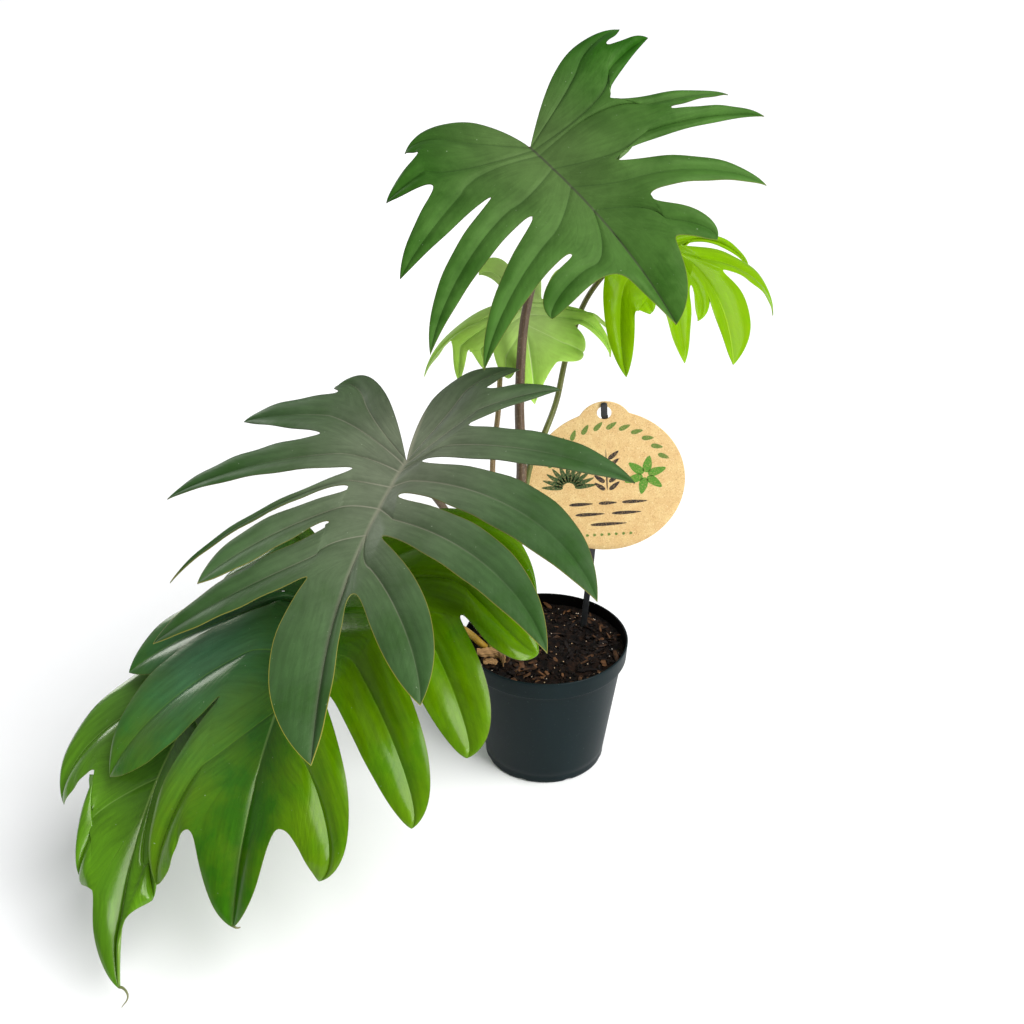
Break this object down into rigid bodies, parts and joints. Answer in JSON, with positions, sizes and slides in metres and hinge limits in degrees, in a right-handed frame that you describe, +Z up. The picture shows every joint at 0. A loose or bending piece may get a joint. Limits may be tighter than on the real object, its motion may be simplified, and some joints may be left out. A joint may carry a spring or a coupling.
{
  "type": "potted split-leaf philodendron",
  "caption": "Young climbing philodendron with deeply cut leaves in a round nursery pot with soil and a card label on a stake.",
  "frame": {"origin": "centre of the pot's base, on the floor", "axes": "+Z up, -Y towards the viewer of the leaves' faces, +X to the viewer's right"},
  "size_m": [0.4737, 0.3904, 0.5037],
  "materials": {
    "pot_plastic": "satin",
    "soil": "matte",
    "stem_bark": "matte",
    "stalk_purple": "satin",
    "stalk_brown": "satin",
    "stalk_olive": "satin",
    "stalk_yellow": "satin",
    "leaf_top": "satin",
    "leaf_middle": "satin",
    "leaf_lower": "gloss",
    "leaf_lowest": "gloss",
    "leaf_pale": "matte",
    "leaf_young": "satin",
    "dry_sheath": "matte",
    "kraft_card": "matte",
    "stake_plastic": "satin"
  },
  "bodies": {
    "root": {"pot": "pot_plastic", "soil": "soil", "stem": "stem_bark", "stalk_top": "stalk_purple", "stalk_middle": "stalk_purple", "stalk_pale": "stalk_brown", "stalk_young": "stalk_olive", "stalk_lower": "stalk_yellow", "stalk_lowest": "stalk_yellow", "leaf_top": "leaf_top", "leaf_middle": "leaf_middle", "leaf_lower": "leaf_lower", "leaf_lowest": "leaf_lowest", "leaf_pale": "leaf_pale", "leaf_young": "leaf_young", "dry_sheath_long": "dry_sheath", "dry_sheath_short": "dry_sheath", "dry_sheath_stem": "dry_sheath", "label_card": "kraft_card", "label_stake": "stake_plastic"}
  },
  "joints": []
}
